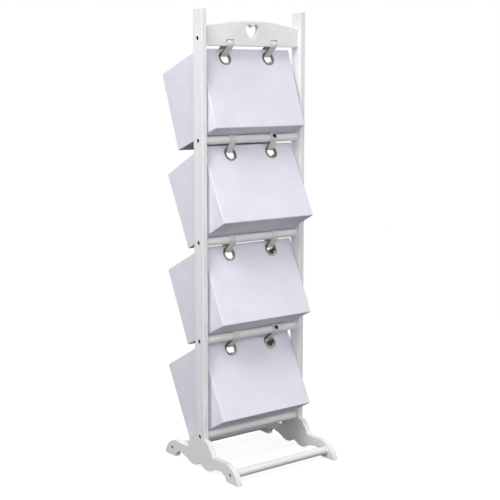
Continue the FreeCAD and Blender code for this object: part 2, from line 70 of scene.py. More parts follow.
class Finish:
    """A material and short calls for the nodes that its principled shader is fed with."""

    def __init__(self, name, sockets):
        self.material = bpy.data.materials.new(name)
        self.material.use_nodes = True
        self.tree = self.material.node_tree
        self.shader = self.tree.nodes["Principled BSDF"]
        for socket, value in sockets.items():
            self.shader.inputs[socket].default_value = value
        self.place = self.node("TexCoord", {}).outputs["Object"]

    def node(self, kind, inputs, **settings):
        """Add a node. An input is a constant or another node's output."""
        made = self.tree.nodes.new("ShaderNode" + kind)
        for name, value in settings.items():
            setattr(made, name, value)
        for socket, value in inputs.items():
            if isinstance(value, bpy.types.NodeSocket):
                self.tree.links.new(value, made.inputs[socket])
            else:
                made.inputs[socket].default_value = value
        return made

    def feed(self, socket, output):
        """Link an output to one of the shader's sockets."""
        self.tree.links.new(output, self.shader.inputs[socket])

    def scaled(self, sizes):
        """Object coordinates divided by a feature size along each axis."""
        scale = [1 / size for size in sizes]
        return self.node("Mapping", {"Vector": self.place, "Scale": scale}).outputs[0]

    def noise(self, sizes, detail=3.0):
        """Cloudy noise, from 0 to 1, with a feature size along each axis."""
        inputs = {"Vector": self.scaled(sizes), "Scale": 1.0, "Detail": detail,
                  "Roughness": 0.5}
        return self.node("TexNoise", inputs).outputs["Fac"]

    def grains(self, size):
        """Distance to the middle of the nearest of many small cells."""
        inputs = {"Vector": self.scaled([size] * 3), "Scale": 1.0}
        return self.node("TexVoronoi", inputs).outputs["Distance"]

    def threads(self, axis, pitch):
        """Fine ridges a pitch apart, counted along one axis."""
        inputs = {"Vector": self.place, "Scale": math.pi / 10 / pitch, "Distortion": 0.6,
                  "Detail": 1.0, "Detail Scale": 0.3}
        return self.node("TexWave", inputs, bands_direction=axis).outputs["Fac"]

    def maths(self, operation, first, second):
        """One operation on two values."""
        return self.node("Math", {0: first, 1: second}, operation=operation).outputs[0]

    def between(self, value, low, high, start=0.0, end=1.0):
        """The value's place between two levels, as a number from start to end."""
        inputs = {"Value": value, "From Min": low, "From Max": high, "To Min": start,
                  "To Max": end}
        return self.node("MapRange", inputs).outputs[0]

    def blend(self, factor, first, second):
        """A colour between two colours: the first at factor 0, the second at 1."""
        inputs = {"Factor": factor, 6: first, 7: second}
        return self.node("Mix", inputs, data_type="RGBA").outputs[2]

    def edges(self):
        """1 on sharp outer edges and 0 elsewhere."""
        pointed = self.node("NewGeometry", {}).outputs["Pointiness"]
        return self.between(pointed, 0.52, 0.58)

    def bumps(self, *layers):
        """Stack bumps, each given as a height, a depth in metres and a strength."""
        normal = None
        for height, depth, strength in layers:
            inputs = {"Height": height, "Distance": depth, "Strength": strength}
            if normal:
                inputs["Normal"] = normal
            normal = self.node("Bump", inputs).outputs[0]
        self.feed("Normal", normal)


def painted_wood(grain_axis):
    """White satin paint over wood, whose grain and brush marks still show a little."""
    finish = Finish("white_paint_" + grain_axis, {"Specular IOR Level": 0.42})
    long, fine = 90 * MM, 1.7 * MM
    fibres = finish.noise([long if axis == grain_axis else fine for axis in "XYZ"], detail=4.0)
    brush = finish.noise([long / 3 if axis == grain_axis else fine / 3 for axis in "XYZ"])
    cloud = finish.noise([160 * MM] * 3, detail=2.0)
    white, bright_white = tone(240, 240, 245), tone(245, 245, 249)
    grain_shade, edge_tint = tone(230, 230, 236), tone(224, 221, 216)
    flat = finish.blend(finish.between(cloud, 0.35, 0.65), white, bright_white)
    grained = finish.blend(finish.between(fibres, 0.52, 0.72, 0.0, 0.55), flat, grain_shade)
    # Darker and warmer towards sharp outer edges.
    edge_darkened = finish.blend(finish.maths("MULTIPLY", finish.edges(), 0.35), grained, edge_tint)
    finish.feed("Base Color", edge_darkened)
    finish.feed("Roughness", finish.between(brush, 0.3, 0.7, 0.36, 0.48))
    peel = finish.noise([0.9 * MM] * 3, detail=1.0)
    finish.bumps((fibres, 0.25 * MM, 0.35), (brush, 0.08 * MM, 0.3), (peel, 0.05 * MM, 0.25))
    return finish.material


def woven_cloth(name, light, dark, pitch):
    """Matt plain-woven cloth: two sets of threads, slubs, a slightly cloudy colour, and painted
    shade in the weave's hollows.
    """
    finish = Finish(name, {"Sheen Weight": 0.25, "Sheen Roughness": 0.5,
                           "Specular IOR Level": 0.2})
    ridges = [finish.threads(axis, pitch) for axis in "XYZ"]
    weave = finish.maths("ADD", finish.maths("ADD", ridges[0], ridges[1]), ridges[2])
    slubs = finish.maths("MAXIMUM", finish.noise([14 * MM, 1.1 * MM, 1.1 * MM], detail=2.0),
                         finish.noise([1.1 * MM, 14 * MM, 14 * MM], detail=2.0))
    cloud = finish.noise([70 * MM] * 3, detail=3.0)
    soft = finish.blend(finish.between(cloud, 0.35, 0.68), light, dark)
    threaded = finish.blend(finish.between(slubs, 0.58, 0.78, 0.0, 0.4), soft, dark)
    # Painted shade: darker where the weave's bump is low.
    hollows_shaded = finish.blend(finish.between(weave, 0.9, 1.9, 0.35, 0.0), threaded, dark)
    finish.feed("Base Color", hollows_shaded)
    finish.feed("Roughness", finish.between(weave, 0.9, 2.2, 0.92, 0.74))
    crumple = finish.noise([26 * MM] * 3, detail=2.0)
    finish.bumps((crumple, 0.5 * MM, 0.22), (slubs, 0.12 * MM, 0.35), (weave, 0.09 * MM, 0.4))
    return finish.material


def leather(name, light, dark, cell):
    """Grained strap leather with a cloudy colour, painted shade in its pores and a painted
    highlight on its sharp edges.
    """
    finish = Finish(name, {"Specular IOR Level": 0.35, "Sheen Weight": 0.15})
    grain = finish.grains(cell)
    cloud = finish.noise([9 * MM] * 3, detail=4.0)
    base = finish.blend(finish.between(cloud, 0.35, 0.65), dark, light)
    # Painted shade: the pits of the grain are darker.
    pores_shaded = finish.blend(finish.between(grain, 0.0, 0.35, 0.5, 0.0), base, dark)
    # Painted highlight: lighter on sharp outer edges.
    highlit_edges = finish.blend(finish.maths("MULTIPLY", finish.edges(), 0.5), pores_shaded, light)
    finish.feed("Base Color", highlit_edges)
    finish.feed("Roughness", finish.between(grain, 0.0, 0.7, 0.68, 0.5))
    finish.bumps((cloud, 0.2 * MM, 0.3), (grain, 0.12 * MM, 0.5))
    return finish.material


def metal(name, light, dark, roughness):
    """Plated metal with fine scratches, stains in its hollows, and a painted highlight on its
    sharp edges.
    """
    finish = Finish(name, {"Metallic": 1.0})
    stains = finish.noise([5 * MM] * 3, detail=4.0)
    scratches = finish.noise([6 * MM, 0.25 * MM, 6 * MM], detail=3.0)
    base = finish.blend(finish.between(stains, 0.4, 0.7), light, dark)
    # Painted highlight: brighter on sharp outer edges.
    glinting_edges = finish.blend(finish.maths("MULTIPLY", finish.edges(), 0.6), base, light)
    finish.feed("Base Color", glinting_edges)
    finish.feed("Roughness", finish.between(stains, 0.3, 0.7, roughness, roughness + 0.18))
    finish.bumps((scratches, 0.03 * MM, 0.35), (stains, 0.05 * MM, 0.2))
    return finish.material


def thread(name, light, dark):
    """Twisted sewing thread."""
    finish = Finish(name, {"Sheen Weight": 0.3, "Specular IOR Level": 0.25})
    twist = finish.noise([0.5 * MM] * 3, detail=2.0)
    finish.feed("Base Color", finish.blend(finish.between(twist, 0.3, 0.7), dark, light))
    finish.feed("Roughness", finish.between(twist, 0.3, 0.7, 0.85, 0.6))
    finish.bumps((twist, 0.1 * MM, 0.6))
    return finish.material


def fibreboard():
    """Grey-brown board pressed from fibres."""
    finish = Finish("fibreboard", {"Specular IOR Level": 0.2})
    fibres = finish.noise([0.8 * MM] * 3, detail=5.0)
    finish.feed("Base Color", finish.blend(fibres, tone(150, 136, 118), tone(112, 100, 86)))
    finish.feed("Roughness", finish.between(fibres, 0.3, 0.7, 0.95, 0.8))
    finish.bumps((fibres, 0.2 * MM, 0.5))
    return finish.material


CLOTH = woven_cloth("lilac_white_cloth", tone(233, 231, 242), tone(226, 224, 236), 0.8 * MM)
# Painted shade: the lining's grey is made darker to stand in for the shade inside the baskets.
LINING = woven_cloth("plain_lining", tone(150, 147, 142), tone(134, 131, 127), 0.55 * MM)
STRAP = leather("strap_face", tone(232, 229, 227), tone(215, 211, 207), 0.9 * MM)
# The strap's reverse face, seen mostly on the second layer in front of the eyelet wall: partly a
# darker backing, partly painted shade of the loop's inside.
STRAP_REVERSE_SHADED = leather("strap_reverse_shaded", tone(166, 157, 152), tone(140, 131, 126), 0.5 * MM)
CLOTH_THREAD = thread("cloth_thread", tone(236, 234, 243), tone(216, 213, 226))
STRAP_THREAD = thread("strap_thread", tone(222, 218, 214), tone(190, 185, 180))
EYELET_METAL = metal("eyelet_metal", tone(158, 156, 152), tone(120, 117, 113), 0.2)
STUD_METAL = metal("stud_metal", tone(62, 59, 56), tone(34, 32, 31), 0.3)
DARK_SCREW = metal("dark_screw", tone(84, 82, 80), tone(48, 46, 45), 0.42)
FIBREBOARD = fibreboard()


# ---------------------------------------------------------------- frame

def finish_node(name, material):
    """Give a carried-over CAD node its material."""
    slots = frame["nodes"][name].data.materials
    slots.clear()
    slots.append(material)


def dress_frame():
    """Paint on the wood, with its grain along each piece, and dark screws."""
    paint = {axis: painted_wood(axis) for axis in "XYZ"}
    for name in ("left_post", "right_post"):
        finish_node(name, paint["Z"])
    for name in ("left_foot", "right_foot"):
        finish_node(name, paint["Y"])
    bars = [f"crossbar_{number}" for number in (1, 2, 3, 4)]
    for name in ["head_rail", "front_foot_bar", "rear_foot_bar", *bars]:
        finish_node(name, paint["X"])
    for name in ("left_post_screws", "right_post_screws", "foot_bar_screws", "foot_bolts"):
        finish_node(name, DARK_SCREW)


# ---------------------------------------------------------------- mesh building blocks

def smoothstep(value, low, high):
    """0 below one level and 1 above another, with a smooth rise between them."""
    share = min(max((value - low) / (high - low), 0.0), 1.0)
    return share * share * (3 - 2 * share)


def spaced(start, end, step):
    """Even places from start to end, both included, about a step apart."""
    count = max(round(abs(end - start) / step), 1)
    return [start + (end - start) * k / count for k in range(count + 1)]


def new_piece(name, mesh_builder, matrix, materials):
    """An object with a smooth mesh, placed by a matrix."""
    mesh = bpy.data.meshes.new(name)
    mesh_builder.to_mesh(mesh)
    mesh_builder.free()
    for polygon in mesh.polygons:
        polygon.use_smooth = True
    for material in materials:
        mesh.materials.append(material)
    piece = bpy.data.objects.new(name, mesh)
    bpy.context.scene.collection.objects.link(piece)
    piece.matrix_world = matrix
    return piece


# Rings along a stitch: place as a share of its length, and fullness there.
STITCH_RINGS = ((-0.5, 0.35), (-0.22, 1.0), (0.22, 1.0), (0.5, 0.35))


def add_stitch(builder, middle, along, out, length, thickness):
    """One stitch: a short thread that dips into the material at both ends."""
    side = along.cross(out)
    rings = []
    for step, fullness in STITCH_RINGS:
        centre = middle + along * (length * step) - out * (thickness * (1 - fullness))
        reach = thickness / 2 * fullness
        rings.append([builder.verts.new(centre + side * (reach * a) + out * (reach * b))
                      for a, b in ((1, 0), (0, 1), (-1, 0), (0, -1))])
    for first, second in zip(rings, rings[1:]):
        for k in range(4):
            nxt = (k + 1) % 4
            builder.faces.new((first[k], first[nxt], second[nxt], second[k]))
    builder.faces.new(reversed(rings[0]))
    builder.faces.new(rings[-1])


# ---------------------------------------------------------------- one basket's place and sizes

class Basket:
    """A basket's place, tilt and sizes, read from its joint and its CAD nodes."""

    def __init__(self, joint):
        self.name = joint["child"]
        board = frame["nodes"][self.name + "_front_board"].data
        face = max(board.polygons, key=lambda polygon: polygon.area).normal.copy()
        depth = face if face.y > 0 else -face
        width = Vector((1, 0, 0))
        low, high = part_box(self.name + "_cover")
        hinge = Vector(joint["pos_m"])
        hinge.x = (low.x + high.x) / 2
        self.matrix = Matrix((width, depth, width.cross(depth))).transposed().to_4x4()
        self.matrix.translation = hinge
        low, high = self.local_box("cover")
        self.half_width = high.x
        self.near, self.far = low.y, high.y
        self.floor, self.rim = low.z, high.z
        base_low, base_high = self.local_box("base_board")
        skin = base_low.z - self.floor
        self.wall = 2 * skin + base_high.z - base_low.z
        eyelets_low, eyelets_high = self.local_box("eyelets")
        self.eyelet_radius = (eyelets_high.z - eyelets_low.z) / 2
        self.eyelet_level = (eyelets_high.z + eyelets_low.z) / 2
        self.eyelet_places = (eyelets_low.x + self.eyelet_radius,
                              eyelets_high.x - self.eyelet_radius)

    def local_box(self, part):
        """The lowest and highest corner of one of its nodes, in the basket's own axes."""
        back = self.matrix.inverted()
        mesh = frame["nodes"][f"{self.name}_{part}"].data
        places = [back @ vertex.co for vertex in mesh.vertices]
        return (Vector([min(place[k] for place in places) for k in range(3)]),
                Vector([max(place[k] for place in places) for k in range(3)]))

    def nearest_eyelet(self, place):
        """The middle of the eyelet nearest to a place, at the place's own depth."""
        across = min(self.eyelet_places, key=lambda middle: abs(place.x - middle))
        return Vector((across, place.y, self.eyelet_level))

    def eyelet_distance(self, place):
        """How far a place on the eyelet wall is from the middle of the nearest eyelet."""
        return (place - self.nearest_eyelet(place)).length

    def finish(self, piece, slot, *nodes):
        """Let a piece ride on the basket in place of CAD nodes. The slot is not used."""
        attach(piece, self.name)
        if nodes:
            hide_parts(*[f"{self.name}_{node}" for node in nodes])


# ---------------------------------------------------------------- cloth

CORNER_RADIUS = 2.9 * MM
INNER_CORNER_RADIUS = 1.6 * MM
BOTTOM_RADIUS = 2.6 * MM
CORNER_STEPS = 6
FLANKS = (1.2 * MM, 2.6 * MM, 4.6 * MM)
COVER_PROUD = 0.35 * MM
COVER_THICK = 0.75 * MM
LINING_THICK = 0.5 * MM
LINING_BEND = 3 * MM
CREASE_DEPTH = 0.28 * MM
CREASE_WIDTH = 0.5 * MM
HEM_DEPTH = 5.5 * MM
HEM_OVERLAP = 2.5 * MM

# A cloth hole's radius, and how far from its middle an open edge is drawn to it, as a share of
# the eyelet's radius. Cloth nearer than the clearance lies flat under the flange.
HOLE_RADIUS = 16.8 * MM
HOLE_REACH = 1.02
EYELET_CLEARANCE = 20.5 * MM

# Rows of points are close together from the rim down to the fine depth. The bottom is drawn as
# loops of these sizes.
FINE_DEPTH = 52 * MM
FINE_STEP = 4.2 * MM
COARSE_STEP = 11 * MM
BOTTOM_SIZES = (0.04, 0.3, 0.55, 0.75, 0.88, 0.96)


def wall_places(length, step):
    """Places along a wall from 0 to 1, closer together beside its corners."""
    flank = [0.0, *FLANKS]
    middle = spaced(flank[-1], length - flank[-1], step)
    ends = flank[:-1]
    distances = ends + middle + [length - distance for distance in reversed(ends)]
    return [distance / length for distance in distances]


def basket_loop(basket, inset, grid):
    """Points round the basket at an inset from its outline, with outward directions.

    Each row is a point, its outward direction, and its distance from the nearest corner.
    """
    radius = max(CORNER_RADIUS - inset, INNER_CORNER_RADIUS)
    half, near, far = basket.half_width - inset, basket.near + inset, basket.far - inset
    corners = [Vector((-half, near)), Vector((half, near)), Vector((half, far)),
               Vector((-half, far))]
    rows = []
    for k, places in enumerate(grid):
        start, end = corners[k], corners[(k + 1) % 4]
        along = (end - start).normalized()
        out = Vector((along.y, -along.x))
        straight = (end - start).length - 2 * radius
        for place in places:
            point = start + along * (radius + straight * place)
            to_corner = min(place, 1 - place) * straight + radius
            rows.append((point, out, to_corner))
        centre = end - along * radius - out * radius
        for step in range(1, CORNER_STEPS):
            turn = math.pi / 2 * step / CORNER_STEPS
            direction = out * math.cos(turn) + along * math.sin(turn)
            to_corner = abs(turn - math.pi / 4) * radius
            rows.append((centre + direction * radius, direction, to_corner))
    return rows


def cloth_sheet(basket, profile, grid, swell):
    """A sheet that follows the basket's outline along a profile.

    The profile's rows are an inset, a height, the angle at which the sheet faces, and how
    large the loop is drawn; the first or last loop is closed where it is drawn small.
    """
    builder = bmesh.new()
    middle = Vector((0, (basket.near + basket.far) / 2))
    loops = []
    for inset, height, angle, size in profile:
        loop = []
        for point, out, to_corner in basket_loop(basket, inset, grid):
            flat = middle + (point - middle) * size
            place = Vector((flat.x, flat.y, height))
            facing = Vector((out.x * math.cos(angle), out.y * math.cos(angle), math.sin(angle)))
            place += facing * swell(place, angle, to_corner)
            loop.append(builder.verts.new(place))
        loops.append(loop)
    count = len(loops[0])
    for lower, upper in zip(loops, loops[1:]):
        for k in range(count):
            nxt = (k + 1) % count
            builder.faces.new((lower[k], lower[nxt], upper[nxt], upper[k]))
    if profile[0][3] < 1:
        builder.faces.new(reversed(loops[0]))
    if profile[-1][3] < 1:
        builder.faces.new(loops[-1])
    cut_eyelet_holes(builder, basket)
    return builder


def cut_eyelet_holes(builder, basket):
    """Open round holes behind the eyelets' flanges, in the eyelet wall only."""
    depth = basket.near + 2 * basket.wall
    inside = [face for face in builder.faces
              if face.calc_center_median().y < depth
              and basket.eyelet_distance(face.calc_center_median()) < HOLE_RADIUS]
    bmesh.ops.delete(builder, geom=inside, context="FACES")
    reach = basket.eyelet_radius * HOLE_REACH
    for vertex in builder.verts:
        if vertex.is_boundary and basket.eyelet_distance(vertex.co) < reach:
            centre = basket.nearest_eyelet(vertex.co)
            vertex.co = centre + (vertex.co - centre).normalized() * HOLE_RADIUS


def wall_grid(basket):
    """Where the points lie along the four walls: closer together on the eyelet wall."""
    width = 2 * (basket.half_width - CORNER_RADIUS)
    depth = basket.far - basket.near - 2 * CORNER_RADIUS
    return (wall_places(width, 5 * MM), wall_places(depth, COARSE_STEP),
            wall_places(width, COARSE_STEP), wall_places(depth, COARSE_STEP))


def arc_rows(inset, height, radius, start, end, steps):
    """Profile rows round an arc. Angles say which way the sheet faces; 0 is outwards."""
    return [(inset - radius * math.cos(angle), height + radius * math.sin(angle), angle, 1.0)
            for angle in spaced(start, end, abs(end - start) / steps)]


def make_cover(basket):
    """The outer cloth: bottom, walls, over the rim, and a narrow hem turned down inside."""
    round_over = basket.wall / 2
    quarter = math.pi / 2
    rim_start = basket.rim - round_over
    low = basket.floor + BOTTOM_RADIUS
    hem_start = rim_start - 1.5 * MM
    fine = basket.rim - FINE_DEPTH
    profile = [(BOTTOM_RADIUS, basket.floor, -quarter, size) for size in BOTTOM_SIZES]
    profile += arc_rows(BOTTOM_RADIUS, low, BOTTOM_RADIUS, -quarter, 0, 5)
    heights = [low + flank for flank in FLANKS]
    heights += spaced(heights[-1] + 8 * MM, fine, COARSE_STEP)
    heights += spaced(fine, hem_start, FINE_STEP)[1:]
    profile += [(0, height, 0, 1.0) for height in heights]
    profile += arc_rows(round_over, rim_start, round_over, 0, 2 * quarter, 8)
    hem = spaced(hem_start, basket.rim - HEM_DEPTH, FINE_STEP)
    profile += [(basket.wall, height, 2 * quarter, 1.0) for height in hem]
    profile += [(basket.wall - 0.5 * MM, hem[-1] - 0.5 * MM, 3 * quarter, 1.0)]
    seed = Vector((0, 0, 10 * basket.matrix.translation.z))

    def swell(place, angle, to_corner):
        if angle < -quarter + 0.01 or angle > quarter * 1.05:
            return 0.0
        height = place.z - basket.floor
        free = smoothstep(to_corner, 2 * MM, 34 * MM) * smoothstep(height, 2 * MM, 34 * MM)
        free *= smoothstep(basket.rim - place.z, 2 * MM, 26 * MM)
        wave = noise.noise(place / (55 * MM) + seed) * 0.7 + noise.noise(place / (21 * MM)) * 0.25
        amount = COVER_PROUD + free * (0.35 + 0.75 * wave) * MM
        amount -= CREASE_DEPTH * math.exp(-((to_corner / CREASE_WIDTH) ** 2))
        if place.y < basket.near + basket.wall:
            amount *= smoothstep(basket.eyelet_distance(place), EYELET_CLEARANCE, 36 * MM)
        return amount * math.cos(angle / 2)

    builder = cloth_sheet(basket, profile, wall_grid(basket), swell)
    piece = new_piece(basket.name + "_cloth_cover", builder, basket.matrix, [CLOTH])
    thicken(piece, COVER_THICK)
    basket.finish(piece, "basket_cloth", "cover")


def make_lining(basket):
    """The inner cloth, from under the hem down to the bottom."""
    quarter = math.pi / 2
    inset = basket.wall - 0.3 * MM
    top = basket.rim - HEM_DEPTH + HEM_OVERLAP
    floor = basket.floor + basket.wall
    low = floor + LINING_BEND
    fine = basket.rim - FINE_DEPTH
    heights = spaced(top, fine, FINE_STEP) + spaced(fine, low + 5 * MM, COARSE_STEP)[1:]
    profile = [(inset, height, 2 * quarter, 1.0) for height in heights]
    profile += [(inset + LINING_BEND * (1 - math.cos(turn)), low - LINING_BEND * math.sin(turn),
                 2 * quarter - turn, 1.0) for turn in spaced(0, quarter, quarter / 5)]
    profile += [(inset + LINING_BEND, floor, quarter, size) for size in reversed(BOTTOM_SIZES)]

    def swell(place, angle, to_corner):
        free = smoothstep(to_corner, 2 * MM, 30 * MM)
        free *= smoothstep(basket.rim - HEM_DEPTH - 3 * MM - place.z, 0.0, 30 * MM)
        free *= smoothstep(basket.eyelet_distance(place), EYELET_CLEARANCE, 40 * MM)
        wave = noise.noise(place / (38 * MM)) * 0.6 + noise.noise(place / (15 * MM)) * 0.3
        return max(free * (0.35 + wave), 0.0) * MM

    builder = cloth_sheet(basket, profile, wall_grid(basket), swell)
    piece = new_piece(basket.name + "_cloth_lining", builder, basket.matrix, [LINING])
    thicken(piece, LINING_THICK)
    basket.finish(piece, "lining_cloth", "lining")


def thicken(piece, thickness):
    """Give a sheet its thickness, behind the side that shows."""
    solid = piece.modifiers.new("thickness", "SOLIDIFY")
    solid.thickness = thickness
    solid.offset = -1


def make_hem_stitches(basket):
    """Top-stitching under the rim outside, and along the hem's lower edge inside."""
    builder = bmesh.new()
    length, pitch, thickness = 3.0 * MM, 4.4 * MM, 0.45 * MM
    rows = ((-COVER_PROUD, basket.rim - 4.6 * MM, 1),
            (basket.wall, basket.rim - HEM_DEPTH + 1.8 * MM, -1))
    clear = basket.eyelet_radius + 1.5 * MM
    for inset, height, way in rows:
        half, near, far = basket.half_width - inset, basket.near + inset, basket.far - inset
        corners = [Vector((-half, near, height)), Vector((half, near, height)),
                   Vector((half, far, height)), Vector((-half, far, height))]
        for k, start in enumerate(corners):
            run = corners[(k + 1) % 4] - start
            along = run.normalized()
            out = along.cross(Vector((0, 0, 1))) * way
            for distance in spaced(6 * MM, run.length - 6 * MM, pitch):
                middle = start + along * distance
                if k > 0 or basket.eyelet_distance(middle) > clear:
                    add_stitch(builder, middle + out * (thickness * 0.2), along, out, length,
                               thickness)
    piece = new_piece(basket.name + "_hem_stitches", builder, basket.matrix, [CLOTH_THREAD])
    basket.finish(piece, "basket_cloth")


# ---------------------------------------------------------------- eyelets

FLANGE_WIDTH = 6.2 * MM
FLANGE_EDGE = 0.22
DOME_POWER = 2.4
LIP_RADIUS = 1.1 * MM
EYELET_TURNS = 72


def eyelet_profile(bore, rim, half_wall, flange):
    """Half of an eyelet's section as radius and depth: bore, rolled lip, and domed flange.

    The flange is full height at the lip and falls to its edge height, a share of that.
    """
    points = [(bore, 0.0), (bore, half_wall)]
    for turn in spaced(0, math.pi / 2, math.pi / 8)[1:]:
        points.append((bore + LIP_RADIUS * (1 - math.cos(turn)),
                       half_wall + flange * math.sin(turn)))
    inner, outer = bore + LIP_RADIUS, rim - 0.4 * MM
    for share in spaced(0.0, 1.0, 0.125)[1:]:
        height = FLANGE_EDGE + (1 - FLANGE_EDGE) * (1 - share ** DOME_POWER)
        points.append((inner + (outer - inner) * share, half_wall + flange * height))
    points += [(rim, half_wall + 0.1 * flange), (rim - 0.1 * MM, half_wall - 0.1 * MM)]
    return points


def make_eyelets(basket):
    """Both metal eyelets, turned from one section that is the same on each side of the wall."""
    low, high = basket.local_box("eyelets")
    depth_middle = (low.y + high.y) / 2
    bore = basket.eyelet_radius - FLANGE_WIDTH
    half = eyelet_profile(bore, basket.eyelet_radius, basket.wall / 2,
                          (high.y - low.y - basket.wall) / 2)
    section = [(radius, -depth) for radius, depth in reversed(half[1:])] + half
    builder = bmesh.new()
    for across in basket.eyelet_places:
        rings = []
        for step in range(EYELET_TURNS):
            angle = 2 * math.pi * step / EYELET_TURNS
            rings.append([builder.verts.new((across + radius * math.cos(angle),
                                             depth_middle + depth,
                                             basket.eyelet_level + radius * math.sin(angle)))
                          for radius, depth in section])
        for step in range(EYELET_TURNS):
            one, two = rings[step], rings[(step + 1) % EYELET_TURNS]
            for k in range(len(section) - 1):
                builder.faces.new((one[k], one[k + 1], two[k + 1], two[k]))
            builder.faces.new((one[-1], one[0], two[0], two[-1]))
    bmesh.ops.recalc_face_normals(builder, faces=builder.faces)
    piece = new_piece(basket.name + "_rolled_eyelets", builder, basket.matrix, [EYELET_METAL])
    basket.finish(piece, "eyelet_metal", "eyelets")


# ---------------------------------------------------------------- straps

STRAP_BEND_RADIUS = 4.6 * MM
STRAP_THICK = 1.4 * MM
STRAP_TOP_DROP = 2.2 * MM
OVERLAP_HALF = 9.5 * MM
RAMP = 9 * MM
END_ROUNDING = 5 * MM
LAYER_PLAY = 0.06 * MM
BAND_CLEARANCE = 0.03 * MM
BAND_EDGE = 0.42
STRAP_STITCH_INSET = 2.2 * MM
STRAP_STITCH_PITCH = 3.6 * MM
STRAP_STITCH_LENGTH = 2.5 * MM
STRAP_STITCH_THICK = 0.42 * MM

# The second layer, which ends this far in front of the eyelet wall and below its rim.
INNER_LEG_THICK = 0.8 * MM
INNER_LEG_INSET = 0.3 * MM
INNER_LEG_GAP = 2.3 * MM
INNER_LEG_DROP = 15.5 * MM
INNER_LEG_SAG = 0.6 * MM


class Belt:
    """The closed line of a strap's inner face round its bar and over the wall's edge."""

    def __init__(self, circles):
        self.circles = circles
        self.spans = []
        count = len(circles)
        leaving = [self.tangent(circles[k], circles[(k + 1) % count]) for k in range(count)]
        self.length = 0.0
        for k, (y, z, radius) in enumerate(circles):
            turn = (leaving[k] - leaving[k - 1]) % (2 * math.pi)
            self.spans.append(("arc", self.length, (y, z, radius), leaving[k - 1]))
            self.length += turn * radius
            y1, z1, radius1 = circles[(k + 1) % count]
            out = Vector((math.cos(leaving[k]), math.sin(leaving[k])))
            start, end = Vector((y, z)) + out * radius, Vector((y1, z1)) + out * radius1
            self.spans.append(("line", self.length, (start, (end - start).normalized()), out))
            self.length += (end - start).length

    @staticmethod
    def tangent(start, end):
        """The angle of the outward normal where the line to the next circle leaves."""
        (y0, z0, radius0), (y1, z1, radius1) = start, end
        lean = math.asin((radius0 - radius1) / math.hypot(y1 - y0, z1 - z0))
        return math.atan2(z1 - z0, y1 - y0) - math.pi / 2 + lean

    def at(self, distance):
        """The point and outward direction at a distance along the belt."""
        distance %= self.length
        kind, start, shape, facing = [span for span in self.spans if span[1] <= distance][-1]
        if kind == "arc":
            y, z, radius = shape
            angle = facing + (distance - start) / radius
            out = Vector((math.cos(angle), math.sin(angle)))
            return Vector((y, z)) + out * radius, out
        origin, along = shape
        return origin + along * (distance - start), facing

    def nearest(self, target):
        """The distance along the belt of the place nearest to a point."""
        steps = 720
        return min((self.length * k / steps for k in range(steps)),
                   key=lambda distance: (self.at(distance)[0] - target).length)


def strap_belt(basket, side_name):
    """One strap's belt, its press stud's place along it, its middle across, and half its width."""
    low, high = basket.local_box(side_name + "_strap")
    hub = -low.y - STRAP_THICK
    middle = basket.near + basket.wall / 2
    bottom = low.z + STRAP_THICK + STRAP_BEND_RADIUS
    top = basket.rim - STRAP_TOP_DROP
    belt = Belt([(0, 0, hub), (middle, bottom, STRAP_BEND_RADIUS),
                 (middle, top, STRAP_BEND_RADIUS)])
    if (basket.name, side_name) in STUD_IN_FRONT:
        stud = Vector((-hub, 0))
    else:
        stud = Vector((middle + STRAP_BEND_RADIUS, (bottom + top) / 2))
    return belt, belt.nearest(stud), (low.x + high.x) / 2, (high.x - low.x) / 2


def strap_section(half_width, low, high):
    """A flat band's section with rounded edges: places across and heights, anticlockwise."""
    rounding = (high - low) * BAND_EDGE
    points = []
    for sign_x, sign_y, start in ((1, -1, -90), (1, 1, 0), (-1, 1, 90), (-1, -1, 180)):
        centre_x = sign_x * (half_width - rounding)
        centre_y = low + rounding if sign_y < 0 else high - rounding
        for step in range(3):
            angle = math.radians(start + 45 * step)
            points.append((centre_x + rounding * math.cos(angle),
                           centre_y + rounding * math.sin(angle)))
    return points


def sweep_band(builder, stations, half_width, thickness):
    """Sweep a band along stations: inner face's middle, outward direction, and narrowing."""
    rings = []
    for base, out, narrow in stations:
        section = strap_section(half_width - narrow, BAND_CLEARANCE, thickness)
        rings.append([builder.verts.new(base + Vector((across, 0, 0)) + out * height)
                      for across, height in section])
    count = len(rings[0])
    for one, two in zip(rings, rings[1:]):
        for k in range(count):
            nxt = (k + 1) % count
            face = builder.faces.new((one[k], one[nxt], two[nxt], two[k]))
            face.material_index = 1 if k == count - 1 else 0
    builder.faces.new(reversed(rings[0]))
    builder.faces.new(rings[-1])


# Its reverse face shows towards the front and carries the strap's partly painted shade.
def inner_leg(basket, belt, centre):
    """The strap's second layer: from behind the bar to the eyelet, in front of the wall."""
    hub = belt.circles[0][2]
    end = Vector((basket.near - INNER_LEG_GAP, basket.rim - INNER_LEG_DROP))
    facing = math.atan2(end.y, end.x) + math.acos(hub / end.length)
    out = Vector((math.cos(facing), math.sin(facing)))
    start = out * hub
    run = end - start
    stations = []
    for share in spaced(0.0, 1.0, 0.1):
        sag = INNER_LEG_SAG * math.sin(math.pi * share)
        place = start + run * share - out * sag
        stations.append((Vector((centre, place.x, place.y)), Vector((0, out.x, out.y)), 0.0))
    return stations


